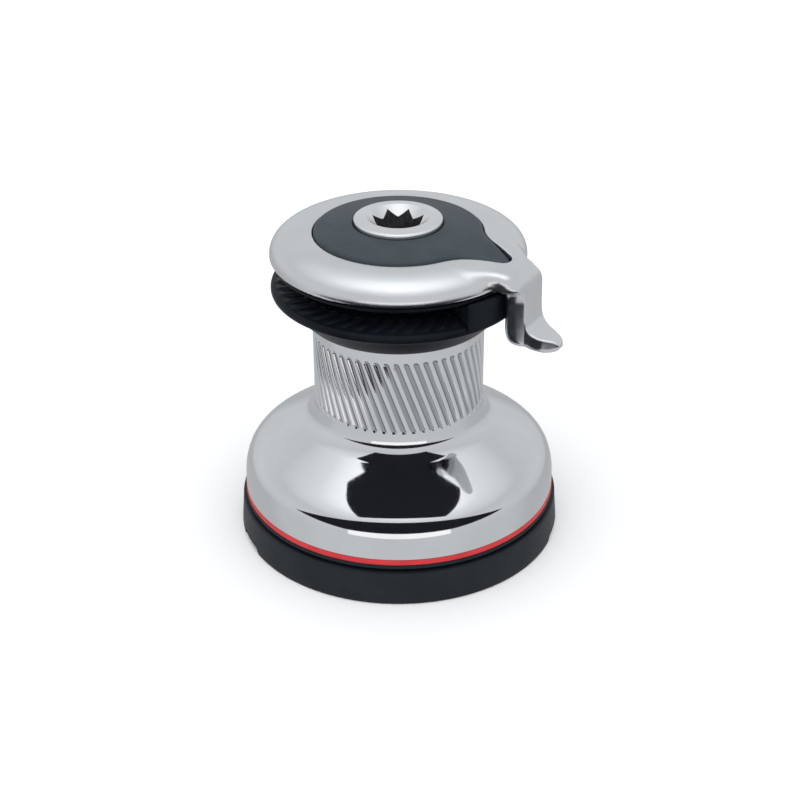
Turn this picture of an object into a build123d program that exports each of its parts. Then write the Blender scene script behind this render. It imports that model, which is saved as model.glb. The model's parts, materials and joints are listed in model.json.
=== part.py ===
from build123d import *
from math import atan2, cos, degrees, pi, radians, sin, tan
import os

# A two-speed self-tailing sailboat winch.
# Millimetres. The origin is on the drum's axis at the deck face, +Z is up the
# axis and the self-tailing arm points along +X.

# ---- driving dimensions -------------------------------------------------
DRUM_R = 40.0                 # the gripping part of the drum
BASE_R = 77.5                 # the black base skirt at the deck
BELL_R = 74.6                 # the rim of the drum's bell
BELL_Z = 22.3                 # where the bell's rim ends
DOME_R = 58.5                 # the round cover over the jaws
DOME_Z = 140.4                # the cover's lower edge
INSERT_R = 38.5               # the black insert in the cover
SOCKET_TOP = 158.1            # the top of the handle socket's ring
STEM_R = 28.0                 # the stem's outside, where the bearings run
RUN = 0.05                    # radial clearance of a running fit
LOOSE = 0.3                   # clearance of parts that pass without touching

# gears
MODULE = 1.5
PRESSURE = 25.0               # degrees
ADDENDUM = 0.8 * MODULE
DEDENDUM = 1.05 * MODULE
BACKLASH = 0.2
RING_TEETH = 88
FIRST_TEETH = 41              # first-speed gear on the shaft
IDLER_TEETH = 16
PINION_TEETH = 14             # cut on the shaft, drives second speed
SECOND_TEETH = 36             # second-speed gear
FINAL_TEETH = 38              # second-speed pinion on the ring gear

# levels along the axis
PLATE_TOP = 6.0
LOW_GEARS = (10.5, 16.5)      # the shaft pinion and the second-speed gear
MID_GEARS = (18.5, 25.0)      # the second-speed pinion
HIGH_GEARS = (26.3, 34.6)     # the first-speed train
RING_Z = (18.2, 33.8)
FLANGE_Z = (35.0, 41.0)       # the stem's foot, over the gears
STEM_TOP = 142.5
DRUM_TOP = 112.0              # the shoulder that the jaw springs stand on
SPIGOT_TOP = 133.0            # the drum's spigot, which carries the upper jaw
SOCKET_FLOOR = 116.0

# places
SPINDLE_R = 4.0
SHAFT_R = 7.0
OUTER_IDLER_ANGLE = 0.0
COMPOUND_ANGLE = 180.0
LOWER_BEARING_Z = (60.0, 76.0)
UPPER_BEARING_Z = (94.0, 110.0)
ROLLER_R = 2.7
ROLLERS = 16
BOLT_CIRCLE_R = 57.0
BOLT_HOLE_R = 3.3
BOLTS = 5
BOLT_ANGLE = 36.0


def pitch_r(teeth):
    return MODULE * teeth / 2


def polar(radius, angle):
    """The point at this radius and this angle in degrees."""
    return (radius * cos(radians(angle)), radius * sin(radians(angle)))


def save(piece, name):
    piece.label = name
    export_step(piece, f"parts/{name}.step")


def tooth_points(teeth, widen=0.0):
    """A tooth's outline, pointing along +X: root, involute flank, tip and back."""
    pitch = pitch_r(teeth)
    base = pitch * cos(radians(PRESSURE))
    tip = pitch + ADDENDUM
    root = pitch - DEDENDUM
    half = pi / 2 / teeth - (BACKLASH / 2 - widen) / 2 / pitch
    involute = tan(radians(PRESSURE)) - radians(PRESSURE)
    start = max(root, base)
    flank = []
    for step in range(3):
        radius = start + (tip - start) * step / 2
        roll = max((radius / base) ** 2 - 1, 0) ** 0.5
        angle = half + involute - (roll - atan2(roll, 1))
        flank.append((radius, angle))
    if root < start:
        flank.insert(0, (root, flank[0][1]))
    return [(r, -a) for r, a in flank] + [(r, a) for r, a in reversed(flank)]


def gear_outline(teeth, phase, widen=0.0):
    """The closed outline of a gear that has a tooth centred at this phase, in degrees."""
    tooth = tooth_points(teeth, widen)
    points = []
    for n in range(teeth):
        middle = radians(phase) + 2 * pi * n / teeth
        points += [(r * cos(middle + a), r * sin(middle + a)) for r, a in tooth]
    return points


def meshing_phase(teeth, place, mate_teeth, mate_phase, mate_place):
    """The phase, in degrees, that meshes a gear with one outside it."""
    along = degrees(atan2(place[1] - mate_place[1], place[0] - mate_place[0]))
    mate_pitches = mate_teeth * (along - mate_phase) / 360
    own_pitches = 0.5 - mate_pitches
    return along + 180 - own_pitches * 360 / teeth


# ---- gear places and phases ---------------------------------------------
CENTRE = (0.0, 0.0)
OUTER_IDLER_AT = pitch_r(RING_TEETH) - pitch_r(IDLER_TEETH)
INNER_IDLER_AT = pitch_r(FIRST_TEETH) + pitch_r(IDLER_TEETH)
COMPOUND_AT = pitch_r(RING_TEETH) - pitch_r(FINAL_TEETH)
idler_gap = 2 * pitch_r(IDLER_TEETH)
idler_cosine = (OUTER_IDLER_AT**2 + INNER_IDLER_AT**2 - idler_gap**2) / (2 * OUTER_IDLER_AT * INNER_IDLER_AT)
INNER_IDLER_ANGLE = OUTER_IDLER_ANGLE + degrees(atan2((1 - idler_cosine**2) ** 0.5, idler_cosine))
outer_idler_place = polar(OUTER_IDLER_AT, OUTER_IDLER_ANGLE)
inner_idler_place = polar(INNER_IDLER_AT, INNER_IDLER_ANGLE)
compound_place = polar(COMPOUND_AT, COMPOUND_ANGLE)

# the ring gear has a space where the outer idler has a tooth
ring_space_phase = OUTER_IDLER_ANGLE
outer_idler_phase = OUTER_IDLER_ANGLE
inner_idler_phase = meshing_phase(
    IDLER_TEETH, inner_idler_place, IDLER_TEETH, outer_idler_phase, outer_idler_place
)
first_phase = meshing_phase(FIRST_TEETH, CENTRE, IDLER_TEETH, inner_idler_phase, inner_idler_place)
final_space = round(RING_TEETH * (COMPOUND_ANGLE - ring_space_phase) / 360)
final_phase = ring_space_phase + final_space * 360 / RING_TEETH
pinion_phase = 0.0
second_phase = meshing_phase(SECOND_TEETH, compound_place, PINION_TEETH, pinion_phase, CENTRE)

# ---- ratchets -----------------------------------------------------------
RATCHET_TEETH = 12
RATCHET_DEPTH = 2.0
FIRST_HUB_R = 17.0
SECOND_HUB_R = 15.0
RATCHET_GAP = 0.08            # a running fit between a hub and the ratchet's crests
PAWL_PIVOT_R = 2.2
PAWL_LENGTH = 8.5
PAWL_THICK = 2.6
PAWL_SET_IN = 3.0             # a pawl's pivot, inside its hub's rim
FOLDED = -13.0                # a blade's slant in degrees when it lies inside the hub
ENGAGED = 5.0
FACE_GAP = 1.4                # degrees between an engaged blade's tip and the steep face
FIRST_PAWLS = (100.0, 280.0)
SECOND_PAWLS = (0.0, 180.0)
CLOCKWISE = 1
ANTICLOCKWISE = -1


def ratchet_points(crest_r, face_angle, hand):
    """A ring of saw teeth: each space starts at a steep face and fades to the crest."""
    pitch = 360 / RATCHET_TEETH
    floor_r = crest_r + RATCHET_DEPTH
    points = []
    for n in range(RATCHET_TEETH):
        for radius, turn in ((crest_r, 0), (floor_r, 0.6), (floor_r, 0.3 * pitch), (crest_r, 0.92 * pitch)):
            points.append(polar(radius, face_angle + hand * (n * pitch + turn)))
    return points


def turned(points, swing, hand):
    """Points of a pawl, swung outward by this angle; the blade reaches this way round the hub."""
    turn = radians(swing)
    return [(hand * (x * cos(turn) - y * sin(turn)), x * sin(turn) + y * cos(turn)) for x, y in points]


def blade_points(swing, hand):
    """A pawl's blade from its pivot; the hub's centre is straight below the pivot."""
    back = PAWL_THICK / 2
    return turned([(0, back), (0, -back), (PAWL_LENGTH, -0.55 * back), (PAWL_LENGTH + 0.4, 0.8 * back)],
                  swing, hand)


def leaf_points(hand):
    """The leaf spring that lies under a folded blade."""
    low = -PAWL_THICK / 2 - 0.85
    return turned([(3, low), (8.6, low), (8.6, low + 0.5), (3, low + 0.5)], FOLDED, hand)


def pawl_plane(centre, hub_r, angle, z):
    """The plane of a pawl: origin at its pivot, y pointing away from the hub's centre."""
    x, y = polar(hub_r - PAWL_SET_IN, angle)
    out = polar(1, angle)
    return Plane(
        origin=(centre[0] + x, centre[1] + y, z), x_dir=(out[1], -out[0], 0), z_dir=(0, 0, 1)
    )


def pawl_pocket(hand):
    """The room in a hub that a pawl swings in, with its leaf spring."""
    Circle(PAWL_PIVOT_R + RUN)
    for swing in (FOLDED, (FOLDED + ENGAGED) / 2, ENGAGED + 3):
        with BuildLine() as blade:
            Polyline(*blade_points(swing, hand), close=True)
        offset(make_face(blade.edges(), mode=Mode.PRIVATE), 0.35, kind=Kind.INTERSECTION, mode=Mode.ADD)
    Polygon(*leaf_points(hand), align=None)


def face_angle(hub_r, pawl_at, hand):
    """The angle of the ratchet's steep face that an engaged pawl's tip meets."""
    tip = blade_points(ENGAGED, hand)[2]
    return pawl_at - degrees(atan2(tip[0], hub_r - PAWL_SET_IN + tip[1])) - hand * FACE_GAP


os.makedirs("parts", exist_ok=True)


# ---- base ---------------------------------------------------------------
PLATE_R = 72.7
PLATE_RIM_TOP = 14.0
SHAFT_HOLE_R = 9.0
PILLARS = ((76.0, 32.0), (128.0, 16.0), (-128.0, 16.0), (-76.0, 32.0))   # middle angle, span
PILLAR_R = (48.0, 58.5)
STEM_SCREW_AT = 53.0
SCREW_R = 2.5
HEAD_R = 4.2
HEAD_H = 4.0
SPINDLE_PAD_R = 7.5
SPINDLE_FOOT = 2.5            # where the gear spindles' holes end in the plate


def arc_wall(inner, outer, middle, span):
    """A sketch of a curved wall between two radii, centred on this angle."""
    start = middle - span / 2
    with BuildLine() as edge:
        CenterArc((0, 0), outer, start, span)
        Line(polar(outer, start + span), polar(inner, start + span))
        CenterArc((0, 0), inner, start + span, -span)
        Line(polar(inner, start), polar(outer, start))
    make_face(edge.edges())


with BuildPart() as base_plate:
    with BuildSketch(Plane.XY):
        Circle(PLATE_R)
    extrude(amount=PLATE_TOP)
    with BuildSketch(Plane.XY.offset(PLATE_TOP)):
        Circle(PLATE_R)
        Circle(PLATE_R - 3, mode=Mode.SUBTRACT)
    extrude(amount=PLATE_RIM_TOP - PLATE_TOP)
    for middle, span in PILLARS:
        with BuildSketch(Plane.XY.offset(PLATE_TOP)):
            arc_wall(*PILLAR_R, middle, span)
        extrude(amount=FLANGE_Z[0] - PLATE_TOP)
    with BuildSketch(Plane.XY.offset(PLATE_TOP)):
        with Locations(outer_idler_place, inner_idler_place):
            Circle(SPINDLE_PAD_R)
    extrude(amount=HIGH_GEARS[0] - LOOSE - PLATE_TOP)
    with BuildSketch(Plane.XY.offset(PLATE_TOP)):
        with Locations(compound_place):
            Circle(SPINDLE_PAD_R)
    extrude(amount=LOW_GEARS[0] - LOOSE - PLATE_TOP)
    with Locations((0, 0, PLATE_TOP)):
        Hole(SHAFT_HOLE_R)
    with BuildSketch(Plane.XY.offset(SPINDLE_FOOT)):
        with Locations(outer_idler_place, inner_idler_place, compound_place):
            Circle(SPINDLE_R)
    extrude(amount=HIGH_GEARS[0] - SPINDLE_FOOT, mode=Mode.SUBTRACT)
    for angle, _ in PILLARS:
        with BuildSketch(Plane.XY.offset(FLANGE_Z[0])):
            with Locations(polar(STEM_SCREW_AT, angle)):
                Circle(SCREW_R)
        extrude(amount=-16, mode=Mode.SUBTRACT)
    with PolarLocations(BOLT_CIRCLE_R, BOLTS, start_angle=BOLT_ANGLE):
        Hole(BOLT_HOLE_R)
save(base_plate.part, "base_plate")

SKIRT_TOP = 16.3
NOTCH_ANGLES = (17.0, 122.0, -127.0)
NOTCH_SPAN = 14.0
NOTCH_HIGH = 2.8
with BuildPart() as base_skirt:
    with BuildSketch(Plane.XZ):
        with BuildLine():
            Polyline(
                (PLATE_R + 0.1, 0), (BASE_R, 0), (77.1, 6), (76.6, 12), (76.3, SKIRT_TOP - 0.6),
                (75.7, SKIRT_TOP), (70.6, SKIRT_TOP), (70.6, PLATE_RIM_TOP), (PLATE_R + 0.1, PLATE_RIM_TOP),
                close=True,
            )
        make_face()
    revolve(axis=Axis.Z)
    for angle in NOTCH_ANGLES:
        with BuildSketch(Plane.XY):
            arc_wall(PLATE_R + 0.1, BASE_R + 2, angle, NOTCH_SPAN)
        extrude(amount=NOTCH_HIGH, mode=Mode.SUBTRACT)
save(base_skirt.part, "base_skirt")

with BuildPart() as shaft_foot_bush:
    with BuildSketch(Plane.XY):
        Circle(SHAFT_HOLE_R)
        Circle(SHAFT_R + RUN, mode=Mode.SUBTRACT)
    extrude(amount=PLATE_TOP + 1)
save(shaft_foot_bush.part, "shaft_foot_bush")


# ---- stem ---------------------------------------------------------------
SHAFT_UPPER_R = 10.0
COVER_SCREW_AT = 24.0         # four screws hold the arm cover on the stem
STEM_BORE_R = 20.0
FOOT_R = 59.5
with BuildPart() as stem:
    with BuildSketch(Plane.XZ):
        with BuildLine():
            Polyline(
                (14, FLANGE_Z[0]), (FOOT_R, FLANGE_Z[0]), (FOOT_R, FLANGE_Z[1]), (44, FLANGE_Z[1]),
                (32.5, 52), (32.5, LOWER_BEARING_Z[0] - 0.5), (STEM_R, LOWER_BEARING_Z[0] - 0.5),
                (STEM_R, STEM_TOP), (STEM_BORE_R, STEM_TOP), (STEM_BORE_R, 48), (14, 44),
                close=True,
            )
        make_face()
    revolve(axis=Axis.Z)
    with Locations((*outer_idler_place, 38), (*inner_idler_place, 38), (*compound_place, 38)):
        Hole(SPINDLE_R, depth=10)
    for angle, _ in PILLARS:
        with Locations((*polar(STEM_SCREW_AT, angle), FLANGE_Z[1])):
            CounterBoreHole(SCREW_R + 0.3, HEAD_R + 0.3, HEAD_H + 0.2, depth=10)
    with BuildSketch(Plane.XY.offset(STEM_TOP)):
        with PolarLocations(COVER_SCREW_AT, 4, start_angle=45):
            Circle(2.0)
    extrude(amount=-12, mode=Mode.SUBTRACT)
save(stem.part, "stem")


def socket_screw(place, seat, head_r, head_h, shank_r, length, hexagon):
    """One socket-head screw, its head standing up from the seat."""
    with BuildPart() as screw:
        with BuildSketch(Plane(origin=(*place, seat))):
            Circle(head_r)
        extrude(amount=head_h)
        with BuildSketch(Plane(origin=(*place, seat))):
            Circle(shank_r)
        extrude(amount=-length)
        with BuildSketch(Plane(origin=(*place, seat + head_h))):
            RegularPolygon(hexagon, 6)
        extrude(amount=-head_h * 0.6, mode=Mode.SUBTRACT)
        chamfer(screw.faces().sort_by(Axis.Z)[-1].outer_wire().edges(), head_r * 0.08)
    return screw.part


def save_group(pieces, name):
    save(Compound(children=pieces), name)


stem_screws = []
for angle, _ in PILLARS:
    seat = FLANGE_Z[1] - HEAD_H - 0.2
    place = polar(STEM_SCREW_AT, angle)
    stem_screws.append(socket_screw(place, seat, HEAD_R, HEAD_H, SCREW_R - 0.02, 16, 2.4))
save_group(stem_screws, "stem_screws")

spindle_places = {
    "inner_idler": inner_idler_place,
    "outer_idler": outer_idler_place,
    "second_gear": compound_place,
}
for name, place in spindle_places.items():
    with BuildPart() as spindle:
        with BuildSketch(Plane(origin=(*place, SPINDLE_FOOT))):
            Circle(SPINDLE_R - 0.02)
        extrude(amount=FLANGE_Z[1] - 1 - SPINDLE_FOOT)
        chamfer(spindle.edges().filter_by(GeomType.CIRCLE), 0.5)
    save(spindle.part, f"{name}_spindle")

with BuildPart() as shaft_middle_bush:
    with BuildSketch(Plane.XY.offset(FLANGE_Z[0])):
        Circle(14)
        Circle(SHAFT_UPPER_R + RUN, mode=Mode.SUBTRACT)
    extrude(amount=9)
save(shaft_middle_bush.part, "shaft_middle_bush")

SOCKET_BODY_R = 16.5
with BuildPart() as socket_bush:
    with BuildSketch(Plane.XY.offset(114)):
        Circle(STEM_BORE_R)
        Circle(SOCKET_BODY_R + RUN, mode=Mode.SUBTRACT)
    extrude(amount=STEM_TOP - 114)
save(socket_bush.part, "socket_bush")


# ---- main shaft and handle socket ---------------------------------------
STAR_R = 12.6                 # half the corner distance of a 17.8 mm square
SOCKET_MOUTH_R = 14.1
SOCKET_RING_R = 20.2
SOCKET_LOWER = 110.0
PEG_R = 6.0                   # the peg that joins the shaft to the socket
PEG_H = 4.0
with BuildPart() as main_shaft:
    with BuildSketch(Plane.XY.offset(1.5)):
        Circle(SHAFT_R)
    extrude(amount=FLANGE_Z[0] - 1.5)
    with BuildSketch(Plane.XY.offset(HIGH_GEARS[1])):
        Circle(SHAFT_UPPER_R)
    extrude(amount=SOCKET_LOWER - HIGH_GEARS[1])
    with BuildSketch(Plane.XY.offset(SOCKET_LOWER)):
        Circle(PEG_R)
    extrude(amount=PEG_H)
    with BuildSketch(Plane.XY.offset(LOW_GEARS[0])):
        Polygon(*gear_outline(PINION_TEETH, pinion_phase), align=None)
    extrude(amount=LOW_GEARS[1] - LOW_GEARS[0])
    with BuildSketch(Plane.XY.offset(HIGH_GEARS[0])):
        Circle(FIRST_HUB_R)
    extrude(amount=HIGH_GEARS[1] - HIGH_GEARS[0])
    for angle in FIRST_PAWLS:
        with BuildSketch(pawl_plane(CENTRE, FIRST_HUB_R, angle, HIGH_GEARS[0])):
            pawl_pocket(CLOCKWISE)
        extrude(amount=HIGH_GEARS[1] - HIGH_GEARS[0], mode=Mode.SUBTRACT)
save(main_shaft.part, "main_shaft")

with BuildPart() as handle_socket:
    with BuildSketch(Plane.XY.offset(SOCKET_LOWER)):
        Circle(SOCKET_BODY_R)
    extrude(amount=SOCKET_TOP - SOCKET_LOWER)
    with BuildSketch(Plane.XZ):
        with BuildLine():
            Line((SOCKET_MOUTH_R, SOCKET_TOP), (SOCKET_MOUTH_R, 152.6))
            Polyline(
                (SOCKET_MOUTH_R, 152.6), (18.4, 152.6), (SOCKET_RING_R, 154.2), (SOCKET_RING_R, 157.2),
                (19.8, 157.9), (19.2, SOCKET_TOP), (SOCKET_MOUTH_R, SOCKET_TOP),
            )
        make_face()
    revolve(axis=Axis.Z)
    with BuildSketch(Plane.XY.offset(SOCKET_TOP)):
        for turn in (0, 45):
            Rectangle(STAR_R * 2**0.5, STAR_R * 2**0.5, rotation=turn + 7)
    extrude(amount=SOCKET_FLOOR - SOCKET_TOP, mode=Mode.SUBTRACT)
    with BuildSketch(Plane.XY.offset(SOCKET_TOP)):
        Circle(SOCKET_MOUTH_R)
    extrude(amount=-5, taper=45, mode=Mode.SUBTRACT)
    with BuildSketch(Plane.XY.offset(SOCKET_LOWER)):
        Circle(PEG_R + 0.02)
    extrude(amount=PEG_H, mode=Mode.SUBTRACT)
save(handle_socket.part, "handle_socket")

with BuildPart() as shaft_circlip:
    with BuildSketch(Plane.XY.offset(STEM_TOP + 0.4)):
        Circle(19.0)
        Circle(SOCKET_BODY_R + 0.02, mode=Mode.SUBTRACT)
        with Locations((18, 0)):
            Rectangle(8, 3, mode=Mode.SUBTRACT)
    extrude(amount=1.2)
save(shaft_circlip.part, "socket_circlip")


# ---- gears --------------------------------------------------------------
def plain_gear(teeth, phase, place, levels, bore):
    with BuildPart() as gear:
        with BuildSketch(Plane(origin=(*place, levels[0]))):
            Polygon(*gear_outline(teeth, phase), align=None)
            Circle(bore, mode=Mode.SUBTRACT)
        extrude(amount=levels[1] - levels[0])
    return gear.part


idler_bore = SPINDLE_R + RUN
outer_idler_gear = plain_gear(IDLER_TEETH, outer_idler_phase, outer_idler_place, HIGH_GEARS, idler_bore)
save(outer_idler_gear, "outer_idler_gear")
inner_idler_gear = plain_gear(IDLER_TEETH, inner_idler_phase, inner_idler_place, HIGH_GEARS, idler_bore)
save(inner_idler_gear, "inner_idler_gear")

first_face = face_angle(FIRST_HUB_R, FIRST_PAWLS[0], CLOCKWISE)
with BuildPart() as first_speed_gear:
    with BuildSketch(Plane.XY.offset(HIGH_GEARS[0])):
        Polygon(*gear_outline(FIRST_TEETH, first_phase), align=None)
        saw = ratchet_points(FIRST_HUB_R + RATCHET_GAP, first_face, CLOCKWISE)
        Polygon(*saw, align=None, mode=Mode.SUBTRACT)
    extrude(amount=HIGH_GEARS[1] - HIGH_GEARS[0])
save(first_speed_gear.part, "first_speed_gear")

second_face = face_angle(SECOND_HUB_R, SECOND_PAWLS[0], ANTICLOCKWISE)
with BuildPart() as second_speed_gear:
    with BuildSketch(Plane.XY.offset(LOW_GEARS[0])):
        Polygon(*gear_outline(SECOND_TEETH, second_phase), align=None)
        saw = ratchet_points(SECOND_HUB_R + RATCHET_GAP, second_face, ANTICLOCKWISE)
        Polygon(*saw, align=None, mode=Mode.SUBTRACT)
    extrude(amount=LOW_GEARS[1] - LOW_GEARS[0])
save(second_speed_gear.part.moved(Location((*compound_place, 0))), "second_speed_gear")

COLLAR_R = 5.2                # spaces the second-speed pinion below the stem's foot
with BuildPart() as second_speed_pinion:
    with BuildSketch(Plane.XY.offset(MID_GEARS[0])):
        Polygon(*gear_outline(FINAL_TEETH, final_phase), align=None)
    extrude(amount=MID_GEARS[1] - MID_GEARS[0])
    with BuildSketch(Plane.XY.offset(LOW_GEARS[0])):
        Circle(SECOND_HUB_R)
    extrude(amount=MID_GEARS[0] - LOW_GEARS[0])
    with BuildSketch(Plane.XY.offset(MID_GEARS[1])):
        Circle(COLLAR_R)
    extrude(amount=FLANGE_Z[0] - LOOSE - MID_GEARS[1])
    for angle in SECOND_PAWLS:
        with BuildSketch(pawl_plane(CENTRE, SECOND_HUB_R, angle, LOW_GEARS[0])):
            pawl_pocket(ANTICLOCKWISE)
        extrude(amount=LOW_GEARS[1] - LOW_GEARS[0], mode=Mode.SUBTRACT)
    with BuildSketch(Plane.XY):
        Circle(SPINDLE_R + RUN)
    extrude(amount=FLANGE_Z[0], mode=Mode.SUBTRACT)
save(second_speed_pinion.part.moved(Location((*compound_place, 0))), "second_speed_pinion")


def pawl(centre, hub_r, angle, levels, swing, hand):
    with BuildPart() as blade:
        with BuildSketch(pawl_plane(centre, hub_r, angle, levels[0] + 0.3)):
            Circle(PAWL_PIVOT_R)
            Polygon(*blade_points(swing, hand), align=None)
        extrude(amount=levels[1] - levels[0] - 0.6)
    return blade.part


def leaf_springs(centre, hub_r, angles, levels, hand):
    leaves = []
    for angle in angles:
        with BuildPart() as leaf:
            with BuildSketch(pawl_plane(centre, hub_r, angle, levels[0] + 1)):
                Polygon(*leaf_points(hand), align=None)
            extrude(amount=levels[1] - levels[0] - 2)
        leaves.append(leaf.part)
    return leaves


for side, angle in zip(("a", "b"), FIRST_PAWLS):
    blade = pawl(CENTRE, FIRST_HUB_R, angle, HIGH_GEARS, ENGAGED, CLOCKWISE)
    save(blade, f"first_speed_pawl_{side}")
for side, angle in zip(("a", "b"), SECOND_PAWLS):
    blade = pawl(compound_place, SECOND_HUB_R, angle, LOW_GEARS, FOLDED, ANTICLOCKWISE)
    save(blade, f"second_speed_pawl_{side}")
save_group(leaf_springs(CENTRE, FIRST_HUB_R, FIRST_PAWLS, HIGH_GEARS, CLOCKWISE), "first_pawl_springs")
second_leaves = leaf_springs(compound_place, SECOND_HUB_R, SECOND_PAWLS, LOW_GEARS, ANTICLOCKWISE)
save_group(second_leaves, "second_pawl_springs")


# ---- bearings -----------------------------------------------------------
DRUM_BORE_R = STEM_R + 2 * (ROLLER_R + RUN)
for name, levels in (("lower", LOWER_BEARING_Z), ("upper", UPPER_BEARING_Z)):
    ring_mid = STEM_R + RUN + ROLLER_R
    rollers = []
    for n in range(ROLLERS):
        with BuildPart() as roller:
            with BuildSketch(Plane(origin=(*polar(ring_mid, 360 * n / ROLLERS), levels[0] + 1.5))):
                Circle(ROLLER_R)
            extrude(amount=levels[1] - levels[0] - 3)
        rollers.append(roller.part)
    save_group(rollers, f"{name}_bearing_rollers")
    with BuildPart() as cage:
        with BuildSketch(Plane.XY.offset(levels[0])):
            Circle(DRUM_BORE_R - 0.5)
            Circle(STEM_R + 0.5, mode=Mode.SUBTRACT)
        extrude(amount=levels[1] - levels[0])
        with BuildSketch(Plane.XY.offset(levels[0] + 1.5)):
            with PolarLocations(ring_mid, ROLLERS):
                Circle(ROLLER_R + 0.02)
        extrude(amount=levels[1] - levels[0] - 3, mode=Mode.SUBTRACT)
    save(cage.part, f"{name}_bearing_cage")

with BuildPart() as bearing_spacer:
    with BuildSketch(Plane.XY.offset(LOWER_BEARING_Z[1] + 0.4)):
        Circle(STEM_R + 3)
        Circle(STEM_R + 0.02, mode=Mode.SUBTRACT)
    extrude(amount=UPPER_BEARING_Z[0] - LOWER_BEARING_Z[1] - 0.8)
save(bearing_spacer.part, "bearing_spacer")


# ---- drum ---------------------------------------------------------------
SPIGOT_R = 35.5
SPIGOT_BORE_R = 31.0
RING_OUTER_R = 71.0
JAW_SCREW_AT = (SPIGOT_R + SPIGOT_BORE_R) / 2
SHOULDER = (62.0, 46.0)       # where the bell's cone turns into its round shoulder
SHOULDER_PULL = (71.1, 40.8)  # the cone's line, carried on
FOOT_SWEEP_R = 13.0
FOOT_TURN = 90 - degrees(atan2(SHOULDER[1] - SHOULDER_PULL[1], SHOULDER_PULL[0] - SHOULDER[0]))
CONE_R = DRUM_R + FOOT_SWEEP_R * (1 - cos(radians(FOOT_TURN)))
CONE_Z = SHOULDER[1] + (SHOULDER[0] - CONE_R) / tan(radians(FOOT_TURN))
FOOT_Z = CONE_Z + FOOT_SWEEP_R * sin(radians(FOOT_TURN))    # where the drum starts to sweep out
with BuildPart() as drum:
    with BuildSketch(Plane.XZ):
        with BuildLine():
            Polyline((SPIGOT_BORE_R, 111), (SPIGOT_BORE_R, SPIGOT_TOP), (SPIGOT_R, SPIGOT_TOP))
            Polyline((SPIGOT_R, SPIGOT_TOP), (SPIGOT_R, DRUM_TOP), (DRUM_R - 0.8, DRUM_TOP))
            Polyline((DRUM_R - 0.8, DRUM_TOP), (DRUM_R, DRUM_TOP - 0.8), (DRUM_R, FOOT_Z))
            # a sweep out of the drum, a shallow cone, then the bell's round shoulder
            RadiusArc((DRUM_R, FOOT_Z), (CONE_R, CONE_Z), -FOOT_SWEEP_R)
            Line((CONE_R, CONE_Z), SHOULDER)
            Bezier(SHOULDER, SHOULDER_PULL, (BELL_R, 38), (BELL_R, 24.5))
            Polyline((BELL_R, 24.5), (BELL_R, BELL_Z), (RING_OUTER_R, BELL_Z), (RING_OUTER_R, 34))
            Bezier((RING_OUTER_R, 34), (RING_OUTER_R, 37), (68, 38.8), (61.5, 42.4))
            Polyline(
                (61.5, 42.4), (50, 47.5), (41, 53.5), (DRUM_BORE_R, 59), (DRUM_BORE_R, 111),
                (SPIGOT_BORE_R, 111),
            )
        make_face()
    revolve(axis=Axis.Z)
    with BuildSketch(Plane.XY.offset(SPIGOT_TOP)):
        with PolarLocations(JAW_SCREW_AT, 6, start_angle=30):
            Circle(1.25)
    extrude(amount=-8, mode=Mode.SUBTRACT)
save(drum.part, "drum")

with BuildPart() as ring_gear:
    with BuildSketch(Plane.XY.offset(RING_Z[0])):
        Circle(RING_OUTER_R)
    extrude(amount=RING_Z[1] - RING_Z[0])
    with BuildSketch(Plane.XY.offset(RING_Z[0])):
        Circle(pitch_r(RING_TEETH) - ADDENDUM)
    extrude(amount=RING_Z[1] - RING_Z[0], mode=Mode.SUBTRACT)
    pitch = pitch_r(RING_TEETH)
    space = [(r if r < pitch + 1 else r + 0.35, a) for r, a in tooth_points(RING_TEETH, BACKLASH)]
    middle = radians(ring_space_phase)
    with BuildPart(mode=Mode.PRIVATE) as cutter:
        with BuildSketch(Plane.XY.offset(RING_Z[0])):
            Polygon(*[(r * cos(middle + a), r * sin(middle + a)) for r, a in space], align=None)
        extrude(amount=RING_Z[1] - RING_Z[0])
    with PolarLocations(0, RING_TEETH):
        add(cutter.part, mode=Mode.SUBTRACT)
save(ring_gear.part, "ring_gear")


def flat_ring(inner, outer, low, high, edge):
    with BuildPart() as ring:
        with BuildSketch(Plane.XY.offset(low)):
            Circle(outer)
            Circle(inner, mode=Mode.SUBTRACT)
        extrude(amount=high - low)
        chamfer(ring.edges().filter_by(GeomType.CIRCLE), edge)
    return ring.part


save(flat_ring(RING_OUTER_R + 0.05, 74.75, 19.6, BELL_Z, 0.25), "red_trim_ring")
save(flat_ring(RING_OUTER_R + 0.05, 75.0, 17.6, 19.6, 0.25), "dark_trim_ring")
save(flat_ring(STEM_R + LOOSE, DRUM_BORE_R - LOOSE, 110.1, 110.9, 0.1), "drum_thrust_washer")


# ---- jaws ---------------------------------------------------------------
with BuildPart() as lower_jaw:
    with BuildSketch(Plane.XZ):
        with BuildLine():
            Polyline((SPIGOT_R + LOOSE, 129.8), (46.5, 129.8), (57.4, 127.2))
            Bezier((57.4, 127.2), (58.9, 127.0), (59.0, 123.4), (57.4, 123.3))
            Bezier((57.4, 123.3), (53.4, 122.6), (50.5, 117.5), (43.6, 110.7))
            Polyline(
                (43.6, 110.7), (41.0, 110.7), (41.0, 118.5), (44.0, 121.6), (44.0, 125.5),
                (SPIGOT_R + LOOSE, 125.5), (SPIGOT_R + LOOSE, 129.8),
            )
        make_face()
    revolve(axis=Axis.Z)
    with BuildSketch(Plane.XY.offset(120.0)):
        Circle(42.6)
        Circle(SPIGOT_R + LOOSE, mode=Mode.SUBTRACT)
    extrude(amount=6)
save(lower_jaw.part, "lower_jaw")

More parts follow.
